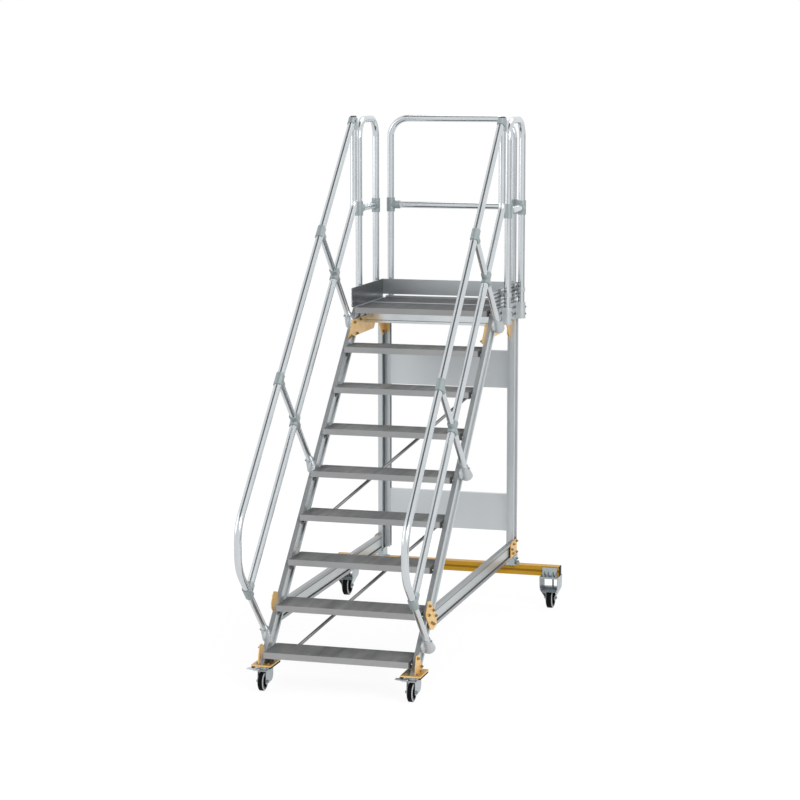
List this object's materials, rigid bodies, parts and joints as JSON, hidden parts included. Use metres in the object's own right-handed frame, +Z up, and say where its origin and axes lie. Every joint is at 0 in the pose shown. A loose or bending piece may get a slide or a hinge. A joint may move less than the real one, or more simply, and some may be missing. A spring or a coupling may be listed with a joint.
{
  "type": "mobile platform stairs",
  "caption": "Aluminium mobile platform stairs: a steep flight with handrails up to a guarded platform, on castors.",
  "frame": {"origin": "on the floor, under the middle of the whole machine's box", "axes": "+X across the stairs to the climber's right, +Y up the flight, +Z up from the floor"},
  "size_m": [1.4066, 2.6535, 2.963],
  "materials": {
    "bar_aluminium": "satin mill finish",
    "tube_aluminium": "satin drawn finish",
    "ribbed_aluminium": "ribbed, matt",
    "board_aluminium": "satin extruded finish",
    "cast_grey": "satin cast finish",
    "gold_steel": "passivated golden yellow",
    "yellow_paint": "satin mustard paint",
    "zinc_steel": "bright zinc plating",
    "tyre_rubber": "matt black",
    "strip_rubber": "matt black",
    "wheel_plastic": "matt grey",
    "black_plastic": "matt black"
  },
  "bodies": {
    "root": {"beam_caps": "black_plastic", "beam_saddles": "zinc_steel", "bottom_rail_left": "bar_aluminium", "bottom_rail_right": "bar_aluminium", "braces": "bar_aluminium", "cross_beam": "yellow_paint", "deck_bearers": "bar_aluminium", "deck_front": "ribbed_aluminium", "deck_rear": "ribbed_aluminium", "front_castor_plates": "gold_steel", "front_castor_tops": "zinc_steel", "guard_fittings_left": "cast_grey", "guard_fittings_rear": "cast_grey", "guard_fittings_right": "cast_grey", "gussets_left": "gold_steel", "gussets_right": "gold_steel", "handrail_left": "tube_aluminium", "handrail_right": "tube_aluminium", "inner_rear_channels": "bar_aluminium", "knee_rail_left": "tube_aluminium", "knee_rail_right": "tube_aluminium", "plate_strips": "strip_rubber", "rail_connectors_left": "cast_grey", "rail_connectors_right": "cast_grey", "rail_struts_left": "tube_aluminium", "rail_struts_right": "tube_aluminium", "rear_beam": "bar_aluminium", "rear_castor_brackets": "zinc_steel", "rear_castor_forks": "zinc_steel", "rear_guard": "tube_aluminium", "rear_panels": "bar_aluminium", "rear_post_left": "bar_aluminium", "rear_post_right": "bar_aluminium", "side_beam_left": "bar_aluminium", "side_beam_right": "bar_aluminium", "side_guard_left": "tube_aluminium", "side_guard_right": "tube_aluminium", "stringer_left": "bar_aluminium", "stringer_right": "bar_aluminium", "toe_board_left": "board_aluminium", "toe_board_rear": "board_aluminium", "toe_board_right": "board_aluminium", "tread_1": "ribbed_aluminium", "tread_2": "ribbed_aluminium", "tread_3": "ribbed_aluminium", "tread_4": "ribbed_aluminium", "tread_5": "ribbed_aluminium", "tread_6": "ribbed_aluminium", "tread_7": "ribbed_aluminium", "tread_8": "ribbed_aluminium"},
    "front_castor_left": {"front_castor_fork_left": "zinc_steel"},
    "front_wheel_left": {"tyre_front_left": "tyre_rubber", "hub_front_left": "wheel_plastic"},
    "rear_wheel_left": {"tyre_rear_left": "tyre_rubber", "hub_rear_left": "wheel_plastic"},
    "front_castor_right": {"front_castor_fork_right": "zinc_steel"},
    "front_wheel_right": {"tyre_front_right": "tyre_rubber", "hub_front_right": "wheel_plastic"},
    "rear_wheel_right": {"tyre_rear_right": "tyre_rubber", "hub_rear_right": "wheel_plastic"}
  },
  "joints": [
    {"name": "front_swivel_left", "type": "hinge", "parent": "root", "child": "front_castor_left", "pos_m": [-0.407, -1.0018, 0.115], "axis": [0, 0, 1], "continuous": true},
    {"name": "front_roll_left", "type": "hinge", "parent": "front_castor_left", "child": "front_wheel_left", "pos_m": [-0.407, -1.0468, 0.05], "axis": [-1, 0, 0], "continuous": true},
    {"name": "rear_roll_left", "type": "hinge", "parent": "root", "child": "rear_wheel_left", "pos_m": [-0.645, 1.2342, 0.0625], "axis": [-1, 0, 0], "continuous": true},
    {"name": "front_swivel_right", "type": "hinge", "parent": "root", "child": "front_castor_right", "pos_m": [0.407, -1.0018, 0.115], "axis": [0, 0, 1], "continuous": true},
    {"name": "front_roll_right", "type": "hinge", "parent": "front_castor_right", "child": "front_wheel_right", "pos_m": [0.407, -1.0468, 0.05], "axis": [-1, 0, 0], "continuous": true},
    {"name": "rear_roll_right", "type": "hinge", "parent": "root", "child": "rear_wheel_right", "pos_m": [0.645, 1.2342, 0.0625], "axis": [-1, 0, 0], "continuous": true}
  ]
}
